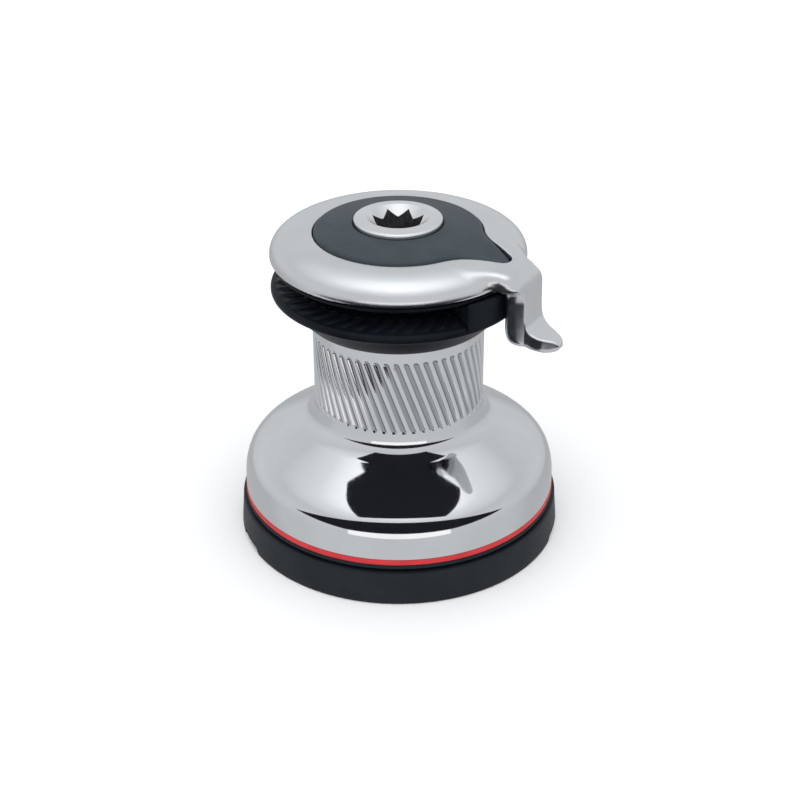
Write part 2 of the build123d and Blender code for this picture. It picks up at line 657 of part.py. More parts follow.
with BuildPart() as upper_jaw:
    with BuildSketch(Plane.XZ):
        with BuildLine():
            Polyline(
                (SPIGOT_BORE_R, SPIGOT_TOP), (40, SPIGOT_TOP), (46.5, 133.8), (56.6, 137.6),
                (57.3, 138.3), (57.3, 139.0), (56.8, 139.5), (46, 139.5), (44, 138.0),
                (SPIGOT_BORE_R, 138.0),
                close=True,
            )
        make_face()
    revolve(axis=Axis.Z)
    with BuildSketch(Plane.XY.offset(138)):
        with PolarLocations(JAW_SCREW_AT, 6, start_angle=30):
            Circle(1.4)
    extrude(amount=-8, mode=Mode.SUBTRACT)
save(upper_jaw.part, "upper_jaw")

jaw_screws = []
for n in range(6):
    place = polar(JAW_SCREW_AT, 30 + 60 * n)
    jaw_screws.append(socket_screw(place, 138.0, 2.2, 2.2, 1.23, 12, 1.2))
save_group(jaw_screws, "jaw_screws")

SPRING_R = 1.6
SPRING_WIRE_R = 0.35
jaw_springs = []
for n in range(6):
    place = polar(38.0, 60 * n)
    coil = Helix(1.7, 6.8, SPRING_R, center=(*place, DRUM_TOP + SPRING_WIRE_R + 0.1))
    with BuildPart() as spring:
        with BuildSketch(Plane(origin=coil @ 0, z_dir=coil % 0)):
            Circle(SPRING_WIRE_R)
        sweep(path=coil, is_frenet=True)
    jaw_springs.append(spring.part)
save_group(jaw_springs, "jaw_springs")


# ---- cover, arm and insert ----------------------------------------------
INSERT_FLOOR = 146.5
TAIL_TIP = 56.5


def teardrop(grow):
    """The insert's outline: a disc with a tail that runs out along the arm."""
    Circle(INSERT_R + grow)
    Polygon((20, 22.5 + grow), (TAIL_TIP + grow, 5.2 + grow), (TAIL_TIP + grow, -5.2 - grow),
            (20, -22.5 - grow), align=None)


with BuildPart() as arm_cover:
    with BuildSketch(Plane.XZ):
        with BuildLine():
            Polyline(
                (20.4, STEM_TOP), (20.4, 144.8), (17.5, 144.8), (17.5, INSERT_FLOOR + 1),
                (INSERT_R, INSERT_FLOOR + 1), (INSERT_R, 150.9),
            )
            Bezier((INSERT_R, 150.9), (49.5, 152.4), (DOME_R, 148.6), (DOME_R, 141.2))
            Polyline((DOME_R, 141.2), (58.1, DOME_Z), (55, DOME_Z), (54.4, STEM_TOP), (20.4, STEM_TOP))
        make_face()
    revolve(axis=Axis.Z)
    # the arm, from over the dome's edge down to the hook's toe
    with BuildSketch(Plane.XZ):
        with BuildLine():
            Line((45, 143), (45, 148.8))
            Bezier((45, 148.8), (53, 149.8), (60.2, 149.8), (63.6, 147.6))
            Bezier((63.6, 147.6), (66.8, 145.2), (68.1, 142.5), (68.2, 137.5))
            Line((68.2, 137.5), (68.4, 127))
            Bezier((68.4, 127), (68.6, 120.6), (71, 119.1), (76, 118.7))
            Bezier((76, 118.7), (80, 118.4), (82.8, 118.0), (84.3, 116.2))
            Bezier((84.3, 116.2), (84.9, 113.6), (83, 112.2), (78, 111.9))
            Line((78, 111.9), (69, 111.9))
            Bezier((69, 111.9), (62, 112.4), (60.2, 116), (60.2, 124))
            Polyline((60.2, 124), (60.2, 138.8), (57.5, DOME_Z), (55.2, 141.0), (45, 143))
        make_face()
    extrude(amount=15, both=True)
    with BuildPart(mode=Mode.PRIVATE) as outside:
        with BuildSketch(Plane.XY.offset(100)):
            Circle(59)
            with BuildLine():
                Polyline(
                    (40, -14), (56, -13), (60, -11.6), (64, -10.5), (68.4, -6.9), (76, -6.9),
                    (81, -5.6), (84.8, -3), (84.8, -0.6), (82, 2), (76, 5.6), (68.4, 9.9),
                    (60, 10.6), (56, 12.5), (40, 14),
                    close=True,
                )
            make_face()
        extrude(amount=60)
    add(outside.part, mode=Mode.INTERSECT)
    with BuildSketch(Plane.XY.offset(INSERT_FLOOR)):
        teardrop(0.25)
    extrude(amount=10, mode=Mode.SUBTRACT)
    for angle in (45, 135, 225, 315):
        with Locations((*polar(COVER_SCREW_AT, angle), INSERT_FLOOR)):
            CounterSinkHole(2.2, 3.9, depth=10, counter_sink_angle=90)

with BuildPart() as top_insert:
    with BuildSketch(Plane.XY.offset(INSERT_FLOOR)):
        teardrop(0)
    extrude(amount=12)
    with BuildPart(mode=Mode.PRIVATE) as crown:
        with BuildSketch(Plane.XZ):
            with BuildLine():
                Polyline(
                    (20.6, INSERT_FLOOR), (20.6, 155.2), (24, 155.3), (36, 152.6), (45, 151.2), (58, 147.8),
                    (58, INSERT_FLOOR), close=True,
                )
            make_face()
        revolve(axis=Axis.Z)
    add(crown.part, mode=Mode.INTERSECT)
save(top_insert.part, "top_insert")

cover_screws = []
for angle in (45, 135, 225, 315):
    with BuildPart() as screw:
        with BuildSketch(Plane(origin=(*polar(COVER_SCREW_AT, angle), INSERT_FLOOR))):
            Circle(3.8)
        extrude(amount=-1.9, taper=45)
        with BuildSketch(Plane(origin=(*polar(COVER_SCREW_AT, angle), INSERT_FLOOR - 1))):
            Circle(1.98)
        extrude(amount=-13)
        with BuildSketch(Plane(origin=(*polar(COVER_SCREW_AT, angle), INSERT_FLOOR))):
            RegularPolygon(1.5, 6)
        extrude(amount=-1.4, mode=Mode.SUBTRACT)
    cover_screws.append(screw.part)
save_group(cover_screws, "cover_screws")


# ---- stripper -----------------------------------------------------------
STRIPPER_START = -29.0        # degrees round the axis
STRIPPER_SPAN = 36.0
STRIPPER_SCREW_Z = 132.0
STRIPPER_SCREWS = (-4.0, 4.0)


def radial_cylinder(y, start, radius, length):
    """A round bar along +X at the stripper's screw height."""
    with BuildPart() as bar:
        with BuildSketch(Plane(origin=(start, y, STRIPPER_SCREW_Z), x_dir=(0, 1, 0), z_dir=(1, 0, 0))):
            Circle(radius)
        extrude(amount=length)
    return bar.part


with BuildPart() as rope_stripper:
    with BuildSketch(Plane.XZ):
        with BuildLine():
            Polyline(
                (47.6, 130.5), (57.5, 128.0), (59.3, 127.6), (59.3, 125.2), (60.1, 125.2), (60.1, 138.5),
                (57.9, 138.5), (57.9, 137.3), (47.6, 133.4), close=True,
            )
        make_face()
    revolve(axis=Axis.Z, revolution_arc=STRIPPER_SPAN)
stripper = rope_stripper.part.rotate(Axis.Z, STRIPPER_START)
stripper_screws = []
for y in STRIPPER_SCREWS:
    head = radial_cylinder(y, 54.0, 1.7, 2.0)
    shank = radial_cylinder(y, 55.9, 1.0, 9.6)
    stripper -= radial_cylinder(y, 44.0, 1.8, 12.0) + radial_cylinder(y, 55.9, 1.02, 9.6)
    stripper_screws.append(head + shank)
save(stripper, "rope_stripper")
save_group(stripper_screws, "stripper_screws")
arm = arm_cover.part
for y in STRIPPER_SCREWS:
    arm -= radial_cylinder(y, 58.0, 1.02, 7.6)
save(arm, "arm_cover")
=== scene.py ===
import json
import math

import bpy
import numpy as np
from mathutils import Matrix, Vector


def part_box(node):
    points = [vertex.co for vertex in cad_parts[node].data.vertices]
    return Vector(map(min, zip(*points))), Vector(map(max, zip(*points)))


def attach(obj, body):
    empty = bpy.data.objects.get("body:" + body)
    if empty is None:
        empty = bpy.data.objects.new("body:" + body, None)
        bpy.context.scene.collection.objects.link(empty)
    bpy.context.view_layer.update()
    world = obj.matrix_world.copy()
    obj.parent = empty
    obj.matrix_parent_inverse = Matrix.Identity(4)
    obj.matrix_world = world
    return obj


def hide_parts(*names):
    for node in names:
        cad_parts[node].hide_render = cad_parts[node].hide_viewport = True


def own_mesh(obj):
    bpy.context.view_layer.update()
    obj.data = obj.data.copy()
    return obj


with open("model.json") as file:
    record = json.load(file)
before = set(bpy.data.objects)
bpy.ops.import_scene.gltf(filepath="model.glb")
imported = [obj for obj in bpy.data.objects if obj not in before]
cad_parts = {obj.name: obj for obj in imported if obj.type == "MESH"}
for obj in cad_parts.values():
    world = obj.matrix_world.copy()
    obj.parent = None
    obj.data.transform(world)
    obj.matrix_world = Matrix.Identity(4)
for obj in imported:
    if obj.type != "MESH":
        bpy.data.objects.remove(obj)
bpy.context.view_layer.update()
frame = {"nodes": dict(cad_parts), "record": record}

MM = 0.001


def size(node):
    """A CAD node's lowest and highest corner in millimetres."""
    low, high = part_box(node)
    return np.array(low) / MM, np.array(high) / MM


# ---- sizes of the CAD parts, in millimetres ------------------------------
cover_low, cover_high = size("arm_cover")
COVER_R = -cover_low[0]
ARM_TIP = cover_high[0]
ARM_LOW = cover_low[2]
BASE_R = size("base_skirt")[1][0]
SKIRT_TOP = size("base_skirt")[1][2]
PLATE_R = size("base_plate")[1][0]
BELL_R = size("drum")[1][0]
BELL_Z = size("drum")[0][2]
SPIGOT_TOP = size("drum")[1][2]
RED_LOW, RED_HIGH = size("red_trim_ring")[0][2], size("red_trim_ring")[1][2]
RED_R = size("red_trim_ring")[1][0]
DARK_LOW, DARK_R = size("dark_trim_ring")[0][2], size("dark_trim_ring")[1][0]
SOCKET_TOP = size("handle_socket")[1][2]
SOCKET_LOW = size("handle_socket")[0][2]
SOCKET_R = size("handle_socket")[1][0]
JAW_R = size("lower_jaw")[1][0]
JAW_LOW = size("lower_jaw")[0][2]
UPPER_JAW_R = size("upper_jaw")[1][0]
UPPER_JAW_TOP = size("upper_jaw")[1][2]
STRIPPER_LOW, STRIPPER_HIGH = size("rope_stripper")
DRUM_R = 40.0
RING_R = size("ring_gear")[1][0]


# ---- curves and outlines -------------------------------------------------
def bezier(a, b, c, d, count):
    """Points along a cubic curve."""
    t = np.linspace(0, 1, count + 1)[:, None]
    a, b, c, d = (np.array(p, float) for p in (a, b, c, d))
    return ((1 - t) ** 3 * a + 3 * t * (1 - t) ** 2 * b + 3 * t * t * (1 - t) * c + t**3 * d).tolist()


def straight(a, b, count):
    """Points along a line."""
    t = np.linspace(0, 1, count + 1)[:, None]
    return (np.array(a, float) * (1 - t) + np.array(b, float) * t).tolist()


def sweep(centre, radius, start, end, count):
    """Points along an arc, with its angles in degrees."""
    angle = np.radians(np.linspace(start, end, count + 1))
    return np.stack([centre[0] + radius * np.cos(angle), centre[1] + radius * np.sin(angle)], 1).tolist()


def softened(points, radius, count=3):
    """A closed outline with each corner rounded."""
    out = []
    points = [np.array(p, float) for p in points]
    for before, corner, after in zip(points[-1:] + points[:-1], points, points[1:] + points[:1]):
        back, ahead = before - corner, after - corner
        reach = min(radius, 0.45 * np.linalg.norm(back), 0.45 * np.linalg.norm(ahead))
        start = corner + back / np.linalg.norm(back) * reach
        end = corner + ahead / np.linalg.norm(ahead) * reach
        for k in range(count + 1):
            t = k / count
            out.append(((1 - t) ** 2 * start + 2 * t * (1 - t) * corner + t * t * end).tolist())
    return out


def joined(*runs):
    """One list of points from several runs, without doubled ones."""
    out = []
    for run in runs:
        for p in run:
            if not out or math.hypot(p[0] - out[-1][0], p[1] - out[-1][1]) > 1e-4:
                out.append(list(p))
    return out


def smooth(t):
    """A soft step from 0 to 1."""
    t = np.clip(t, 0, 1)
    return t * t * (3 - 2 * t)


# ---- building meshes -----------------------------------------------------
def piece(name, verts, faces, body, nodes, slot, crease=34):
    """A mesh in millimetres that rides on a body and stands for its CAD nodes."""
    mesh = bpy.data.meshes.new(name)
    mesh.from_pydata((np.asarray(verts, float) * MM).tolist(), [], faces)
    mesh.update()
    mesh.shade_smooth()
    if crease:
        mesh.set_sharp_from_angle(angle=math.radians(crease))
    obj = bpy.data.objects.new(name, mesh)
    bpy.context.scene.collection.objects.link(obj)
    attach(obj, body)
    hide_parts(*nodes)
    obj.data.materials.append(FINISHES[slot])
    return obj


def turned(name, profile, segments, body, nodes, slot, shape=None, crease=34, capped=False, first=0.0):
    """A piece turned round the axis from an outline that runs anticlockwise in (radius, height)."""
    outline = np.array(profile, float)
    angle = first + np.arange(segments) * 2 * np.pi / segments
    r = np.repeat(outline[:, :1], segments, 1)
    z = np.repeat(outline[:, 1:], segments, 1)
    angle = np.repeat(angle[None, :], len(outline), 0)
    if shape:
        r, z, angle = shape(r, z, angle)
    verts = np.stack([r * np.cos(angle), r * np.sin(angle), z], -1).reshape(-1, 3)
    index = np.arange(r.size).reshape(r.shape)
    right = np.roll(index, -1, 1)
    quads = np.stack([index, right, np.roll(right, -1, 0), np.roll(index, -1, 0)], -1)
    if capped:
        quads = quads[:-1]
    faces = quads.reshape(-1, 4).tolist()
    if capped:
        faces.append(index[0, ::-1].tolist())
        faces.append(index[-1].tolist())
    return piece(name, verts, faces, body, nodes, slot, crease)


def outline_distance(x, y, points):
    """Signed distance to a closed outline, negative inside."""
    nearest = np.full(np.broadcast(x, y).shape, 1e9)
    inside = np.zeros(nearest.shape, bool)
    for (ax, ay), (bx, by) in zip(points, points[1:] + points[:1]):
        ex, ey = bx - ax, by - ay
        t = np.clip(((x - ax) * ex + (y - ay) * ey) / (ex * ex + ey * ey), 0, 1)
        nearest = np.minimum(nearest, (x - ax - ex * t) ** 2 + (y - ay - ey * t) ** 2)
        if ay != by:
            inside ^= ((ay > y) != (by > y)) & (x < ex * (y - ay) / ey + ax)
    return np.where(inside, -1, 1) * np.sqrt(nearest)


def line_distance(x, y, points):
    """Distance to an open line."""
    nearest = np.full(np.broadcast(x, y).shape, 1e9)
    for (ax, ay), (bx, by) in zip(points[:-1], points[1:]):
        ex, ey = bx - ax, by - ay
        t = np.clip(((x - ax) * ex + (y - ay) * ey) / (ex * ex + ey * ey), 0, 1)
        nearest = np.minimum(nearest, (x - ax - ex * t) ** 2 + (y - ay - ey * t) ** 2)
    return np.sqrt(nearest)


def join_soft(a, b, k):
    """Both fields together, with a fillet of about k between them."""
    h = np.clip(0.5 + 0.5 * (b - a) / k, 0, 1)
    return b * (1 - h) + a * h - k * h * (1 - h)


def cut_soft(a, b, k):
    """What two fields share, with the edge between them rounded by about k."""
    return -join_soft(-a, -b, k)


def carved(name, field, low, high, step, body, nodes, slot):
    """A closed mesh of where the field is below zero: one vertex in each grid cell that the
    surface crosses, then moved on to the surface."""
    axes = [np.arange(a, b + step, step) for a, b in zip(low, high)]
    x, y, z = axes[0][:, None, None], axes[1][None, :, None], axes[2][None, None, :]
    f = np.broadcast_to(field(x, y, z), [len(a) for a in axes])
    inside = f < 0
    cells = tuple(n - 1 for n in f.shape)
    total, count = np.zeros(cells + (3,)), np.zeros(cells)
    crossings = []
    for axis in range(3):
        near = [slice(None)] * 3
        far = [slice(None)] * 3
        near[axis], far[axis] = slice(0, -1), slice(1, None)
        a, b = f[tuple(near)], f[tuple(far)]
        crossed = inside[tuple(near)] != inside[tuple(far)]
        i, j, k = np.nonzero(crossed)
        share = a[i, j, k] / (a[i, j, k] - b[i, j, k])
        at = np.stack([axes[0][i], axes[1][j], axes[2][k]], -1)
        at[:, axis] += share * step
        u, v = [n for n in range(3) if n != axis]
        around = []
        for du, dv in ((0, 0), (-1, 0), (-1, -1), (0, -1)):
            cell = np.stack([i, j, k], -1)
            cell[:, u] += du
            cell[:, v] += dv
            around.append(cell)
            ok = np.all((cell >= 0) & (cell < np.array(cells)), 1)
            where = tuple(cell[ok].T)
            np.add.at(total, where, at[ok])
            np.add.at(count, where, 1)
        crossings.append((axis, inside[i, j, k], around))
    used = count > 0
    number = np.full(cells, -1)
    number[used] = np.arange(used.sum())
    verts = total[used] / count[used][:, None]
    faces = []
    for axis, starts_inside, around in crossings:
        quad = np.stack([number[tuple(c.T)] for c in around], -1)
        flip = starts_inside != (axis == 1)
        quad[~flip] = quad[~flip][:, ::-1]
        faces.append(quad)
    faces = np.concatenate(faces)

    def value(p):
        return field(p[:, 0], p[:, 1], p[:, 2])

    reach = 0.05
    for _ in range(4):
        slope = np.stack(
            [value(verts + reach * unit) - value(verts - reach * unit) for unit in np.eye(3)], -1
        ) / (2 * reach)
        move = value(verts)[:, None] * slope / np.maximum((slope**2).sum(1), 0.05)[:, None]
        verts = verts - np.clip(move, -0.5 * step, 0.5 * step)
    return piece(name, verts, faces.tolist(), body, nodes, slot, crease=None)


# ---- finishes ------------------------------------------------------------
def finish(slot, dark, light, rough, metal=0.0, grain=(1, 1, 1), scale=400.0, bump=0.02, shine=0.5):
    """A surface whose colour, gloss and fine relief vary with two sizes of grain."""
    made = bpy.data.materials.new(slot)
    made.use_nodes = True
    nodes, link = made.node_tree.nodes, made.node_tree.links.new
    nodes.clear()
    out = nodes.new("ShaderNodeOutputMaterial")
    shader = nodes.new("ShaderNodeBsdfPrincipled")
    link(shader.outputs["BSDF"], out.inputs["Surface"])
    where = nodes.new("ShaderNodeTexCoord")
    turn = nodes.new("ShaderNodeMapping")
    turn.inputs["Scale"].default_value = grain
    link(where.outputs["Object"], turn.inputs["Vector"])
    fine = nodes.new("ShaderNodeTexNoise")
    fine.inputs["Scale"].default_value = scale
    fine.inputs["Detail"].default_value = 6.0
    fine.inputs["Roughness"].default_value = 0.6
    broad = nodes.new("ShaderNodeTexNoise")
    broad.inputs["Scale"].default_value = scale / 12
    broad.inputs["Detail"].default_value = 3.0
    link(turn.outputs["Vector"], fine.inputs["Vector"])
    link(where.outputs["Object"], broad.inputs["Vector"])
    tint = nodes.new("ShaderNodeValToRGB")
    tint.color_ramp.elements[0].position, tint.color_ramp.elements[0].color = 0.3, (*dark, 1)
    tint.color_ramp.elements[1].position, tint.color_ramp.elements[1].color = 0.7, (*light, 1)
    link(broad.outputs["Fac"], tint.inputs["Fac"])
    link(tint.outputs["Color"], shader.inputs["Base Color"])
    gloss = nodes.new("ShaderNodeMapRange")
    gloss.inputs["From Min"].default_value = 0.3
    gloss.inputs["From Max"].default_value = 0.7
    gloss.inputs["To Min"].default_value = rough[0]
    gloss.inputs["To Max"].default_value = rough[1]
    link(fine.outputs["Fac"], gloss.inputs["Value"])
    link(gloss.outputs["Result"], shader.inputs["Roughness"])
    relief = nodes.new("ShaderNodeBump")
    relief.inputs["Strength"].default_value = bump
    relief.inputs["Distance"].default_value = 0.0002
    link(fine.outputs["Fac"], relief.inputs["Height"])
    link(relief.outputs["Normal"], shader.inputs["Normal"])
    shader.inputs["Metallic"].default_value = metal
    shader.inputs["Specular IOR Level"].default_value = shine
    return made


def shade_and_dull_grooves(made, outer, depth):
    """Paints shade on the floors of grooves cut into a round wall as a darker base colour than the
    wall's, and leaves them less polished than the wall.
    """
    nodes, link = made.node_tree.nodes, made.node_tree.links.new
    shader = next(n for n in nodes if n.type == "BSDF_PRINCIPLED")
    where = nodes.new("ShaderNodeTexCoord")
    flat = nodes.new("ShaderNodeVectorMath")
    flat.operation = "MULTIPLY"
    flat.inputs[1].default_value = (1, 1, 0)
    length = nodes.new("ShaderNodeVectorMath")
    length.operation = "LENGTH"
    share = nodes.new("ShaderNodeMapRange")
    share.inputs["From Min"].default_value = outer - depth
    share.inputs["From Max"].default_value = outer
    link(where.outputs["Object"], flat.inputs[0])
    link(flat.outputs["Vector"], length.inputs[0])
    link(length.outputs["Value"], share.inputs["Value"])
    # painted shade: the groove floors' base colour is darkened; their higher roughness is a real, less
    # polished finish
    for socket, inside in (("Base Color", (0.42, 0.43, 0.45, 1)), ("Roughness", (0.14, 0.14, 0.14, 1))):
        mix = nodes.new("ShaderNodeMix")
        mix.data_type = "RGBA"
        link(share.outputs["Result"], mix.inputs["Factor"])
        mix.inputs[6].default_value = inside
        link(shader.inputs[socket].links[0].from_socket, mix.inputs[7])
        link(mix.outputs[2], shader.inputs[socket])
    return made


FINISHES = {
    "chrome": finish("chrome", (0.74, 0.755, 0.77), (0.80, 0.815, 0.83), (0.20, 0.27), 1.0, bump=0.01),
    "drum_steel": finish("drum_steel", (0.74, 0.755, 0.77), (0.80, 0.815, 0.83), (0.05, 0.08), 1.0,
                         bump=0.004),
    "black_plastic": finish("black_plastic", (0.004, 0.006, 0.009), (0.008, 0.011, 0.015), (0.30, 0.42),
                            scale=900, bump=0.06, shine=0.10),
    "insert_black": finish("insert_black", (0.031, 0.041, 0.049), (0.040, 0.052, 0.061), (0.42, 0.55),
                           scale=1200, bump=0.12, shine=0.3),
    "base_black": finish("base_black", (0.007, 0.011, 0.015), (0.011, 0.016, 0.021), (0.38, 0.50),
                         scale=900, bump=0.06, shine=0.25),
    "red_ring": finish("red_ring", (0.58, 0.030, 0.040), (0.68, 0.045, 0.052), (0.35, 0.45),
                       scale=700, shine=0.2),
    "socket_steel": finish("socket_steel", (0.80, 0.81, 0.82), (0.88, 0.89, 0.90), (0.16, 0.24), 1.0,
                           scale=700),
    "stem_alloy": finish("stem_alloy", (0.50, 0.51, 0.53), (0.60, 0.61, 0.63), (0.35, 0.50), 1.0),
    "gear_steel": finish("gear_steel", (0.36, 0.36, 0.37), (0.46, 0.46, 0.47), (0.25, 0.40), 1.0),
    "gear_bronze": finish("gear_bronze", (0.48, 0.30, 0.11), (0.60, 0.40, 0.17), (0.28, 0.42), 1.0),
    "screw_steel": finish("screw_steel", (0.50, 0.50, 0.51), (0.60, 0.60, 0.61), (0.22, 0.34), 1.0),
    "spring_steel": finish("spring_steel", (0.42, 0.42, 0.44), (0.54, 0.54, 0.56), (0.20, 0.32), 1.0,
                           grain=(1, 1, 6)),
    "bearing_polymer": finish("bearing_polymer", (0.62, 0.60, 0.54), (0.74, 0.72, 0.66), (0.45, 0.60),
                              scale=900, bump=0.08),
    "roller_steel": finish("roller_steel", (0.56, 0.56, 0.58), (0.66, 0.66, 0.68), (0.14, 0.22), 1.0,
                           grain=(1, 1, 0.2)),
}
GROOVE_EDGE, GROOVE_FADE = 0.15, 0.75
# painted shade in the floors of the drum's flutes, which are also left rougher
shade_and_dull_grooves(FINISHES["drum_steel"], (DRUM_R - GROOVE_EDGE) * MM, GROOVE_FADE * MM)
slot_of = {p["node"]: p["material_slot"] for p in frame["record"]["subparts"]}
for node, obj in frame["nodes"].items():
    obj.data.materials.clear()
    obj.data.materials.append(FINISHES[slot_of[node]])


# ---- drum ----------------------------------------------------------------
RIBS = 56
COLUMNS_PER_RIB = 16
RIB_LOW, RIB_HIGH = 67.5, 104.0
RIB_TWIST = math.radians(18.3) / 36.0
FLUTE_HALF, FLUTE_DEPTH = 1.45, 1.1


def flutes(r, z, angle):
    """Slanting flutes with round ends, cut into the drum's waist."""
    pitch = 2 * np.pi / RIBS
    off = (np.mod(angle, pitch) - pitch / 2) * DRUM_R
    end = np.maximum(z - (RIB_HIGH - FLUTE_HALF), 0) + np.maximum(RIB_LOW + FLUTE_HALF - z, 0)
    away = np.sqrt(off**2 + end**2) / FLUTE_HALF
    depth = FLUTE_DEPTH * np.clip(1 - away**2, 0, 1) ** 0.8
    wall = (r > DRUM_R - 0.3) & (r < DRUM_R + 0.5)  # the inside and the bell keep their radius
    lean = RIB_TWIST * np.clip(z - RIB_HIGH, RIB_LOW - RIB_HIGH - 4, 4)
    return np.where(wall, r - depth, r), z, angle - lean


SWEEP_R, SWEEP_TURN = 13.0, 60.26
SHOULDER, SHOULDER_PULL = (62, 46), (71.1, 40.8)
RIM_Z = 24.5                   # top of the bell's upright rim
HEAD_Z, TOP_Z = 111.2, 112     # the chamfer at the waist's top
SPIGOT_R, SPIGOT_BORE_R, DRUM_BORE_R = 35.5, 31, 33.5
UNDER_SHOULDER = (61.5, 42.4)
SLOPE = 1 / math.tan(math.radians(SWEEP_TURN))
sweep_end = DRUM_R + SWEEP_R * (1 - math.cos(math.radians(SWEEP_TURN)))
sweep_end = (sweep_end, SHOULDER[1] + (SHOULDER[0] - sweep_end) * SLOPE)
FOOT_Z = sweep_end[1] + SWEEP_R * math.sin(math.radians(SWEEP_TURN))
drum_outline = joined(
    straight((RING_R, BELL_Z), (BELL_R - 0.3, BELL_Z), 1),
    straight((BELL_R, BELL_Z + 0.3), (BELL_R, RIM_Z), 2),
    bezier((BELL_R, RIM_Z), (BELL_R, 38), SHOULDER_PULL, SHOULDER, 44),
    straight(SHOULDER, sweep_end, 6),
    sweep((DRUM_R + SWEEP_R, FOOT_Z), SWEEP_R, 180 + SWEEP_TURN, 180, 26),
    straight((DRUM_R, FOOT_Z), (DRUM_R, 106), 80),
    straight((DRUM_R, 106), (DRUM_R, HEAD_Z), 2),
    [(DRUM_R - 0.8, TOP_Z), (SPIGOT_R, TOP_Z), (SPIGOT_R, SPIGOT_TOP), (SPIGOT_BORE_R, SPIGOT_TOP)],
    [(SPIGOT_BORE_R, TOP_Z - 1), (DRUM_BORE_R, TOP_Z - 1)],
    straight((DRUM_BORE_R, TOP_Z - 1), (DRUM_BORE_R, 57.5), 3),
    [(38.5, 52.5), (50, 47.5), UNDER_SHOULDER],
    bezier(UNDER_SHOULDER, (68, 38.8), (RING_R, 37), (RING_R, 34), 8),
    [(RING_R, 28)],
)
turned("winch_drum", drum_outline, RIBS * COLUMNS_PER_RIB, "drum", ["drum"], "drum_steel", shape=flutes)

# ---- trim rings and base -------------------------------------------------
ring_in = RING_R + 0.05
for name, node, slot, outer, low, high, edge in (
    ("red_ring", "red_trim_ring", "red_ring", RED_R, RED_LOW, RED_HIGH, 0.35),
    ("dark_ring", "dark_trim_ring", "base_black", DARK_R, DARK_LOW, RED_LOW, 0.4),
):
    ring = softened([(ring_in, low), (outer, low), (outer, high), (ring_in, high)], edge)
    turned(name, ring, 360, "drum", [node], slot)

NOTCHES = (17.0, 122.0, -127.0)
NOTCH_HALF, NOTCH_HIGH = 7.0, 2.8
NOTCH_SIDE = 0.6               # degrees over which a notch's side rises


def notched(r, z, angle):
    """Drain notches in the skirt's lower edge."""
    high = 0
    for middle in NOTCHES:
        off = np.abs(np.mod(np.degrees(angle) - middle + 180, 360) - 180)
        high = high + NOTCH_HIGH * smooth((NOTCH_HALF - off) / NOTCH_SIDE + 0.5)
    return r, np.maximum(z, np.where(z < NOTCH_HIGH + 0.1, high, z)), angle


skirt_in = PLATE_R + 0.1
SHELF_R, SHELF_Z = 70.6, 14
skirt = softened([
    (skirt_in, 0), (BASE_R, 0), (BASE_R - 0.15, 2.9), (BASE_R - 0.55, 8), (BASE_R - 0.95, 12.5),
    (BASE_R - 1.2, SKIRT_TOP), (SHELF_R, SKIRT_TOP), (SHELF_R, SHELF_Z), (skirt_in, SHELF_Z),
], 0.7)
turned("base_ring", skirt, 720, "base", ["base_skirt"], "base_black", shape=notched)

# ---- jaws ----------------------------------------------------------------
JAW_RIBS = 48
COLUMNS_PER_TOOTH = 15
RIB_IN = 46.6
GROOVE_FLOOR, GROOVE_ROOF = 126.5, 138.2


def in_groove(z):
    return ((z > GROOVE_FLOOR) & (z < GROOVE_ROOF)).astype(float)


def jaw_ribs(sign, inner, outer, height):
    """Curved grip ribs on a jaw's groove face, steep on one side like saw teeth."""
    curve, crest = 0.16, 0.8

    def shape(r, z, angle):
        lean = curve * (r - inner) / (outer - inner)
        turn = np.mod((angle + lean) * JAW_RIBS / (2 * np.pi), 1.0)
        tooth = np.where(turn < crest, turn / crest, (1 - turn) / (1 - crest))
        fade = smooth((r - inner) / 1.5) * smooth((outer - r) / 3.0)
        return r, z + sign * height * tooth * fade * in_groove(z), angle
    return shape


lower_jaw = joined(
    [(41.0, JAW_LOW), (43.2, JAW_LOW)],
    bezier((43.6, JAW_LOW + 0.2), (50.5, 117.5), (53.4, 122.6), (57.4, 123.3), 18),
    bezier((57.4, 123.3), (JAW_R + 0.35, 123.4), (JAW_R + 0.35, 127.0), (57.2, 127.3), 10),
    straight((57.2, 127.3), (46.5, 129.6), 22),
    [(46.2, 129.8), (35.8, 129.8), (35.8, 120.0), (41.0, 120.0)],
)
turned("jaw_lower", lower_jaw, JAW_RIBS * COLUMNS_PER_TOOTH, "lower_jaw", ["lower_jaw"], "black_plastic",
       shape=jaw_ribs(1, RIB_IN, 57.0, 1.1))
upper_jaw = joined(
    [(31, 133), (40, 133)],
    straight((46.5, 133.9), (56.4, 137.6), 20),
    bezier((56.4, 137.6), (UPPER_JAW_R, 138.0), (UPPER_JAW_R, 138.6),
           (UPPER_JAW_R - 0.2, UPPER_JAW_TOP - 0.2), 4),
    [(56.7, UPPER_JAW_TOP), (46, UPPER_JAW_TOP), (44, 138), (31, 138)],
)
turned("jaw_upper", upper_jaw, JAW_RIBS * COLUMNS_PER_TOOTH, "drum", ["upper_jaw"], "black_plastic",
       shape=jaw_ribs(-1, RIB_IN, 56.3, 0.9))

# ---- springs under the lower jaw -----------------------------------------
coils = bpy.data.objects.new("jaw_spring_coils", frame["nodes"]["jaw_springs"].data.copy())
bpy.context.scene.collection.objects.link(coils)
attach(coils, "drum")
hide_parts("jaw_springs")
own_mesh(coils)

# ---- handle socket -------------------------------------------------------
STAR_HALF = 8.91
STAR_TURN = math.radians(8.5)
MOUTH_R, MOUTH_FALL = 14.1, 5  # the hole's chamfered mouth, and how far it runs inwards


def star_radius(angle):
    """The edge of two squares, one turned 45 degrees from the other."""
    off = np.mod(angle - STAR_TURN + np.pi / 8, np.pi / 4) - np.pi / 8
    return STAR_HALF / np.cos(np.pi / 4 - np.abs(off))


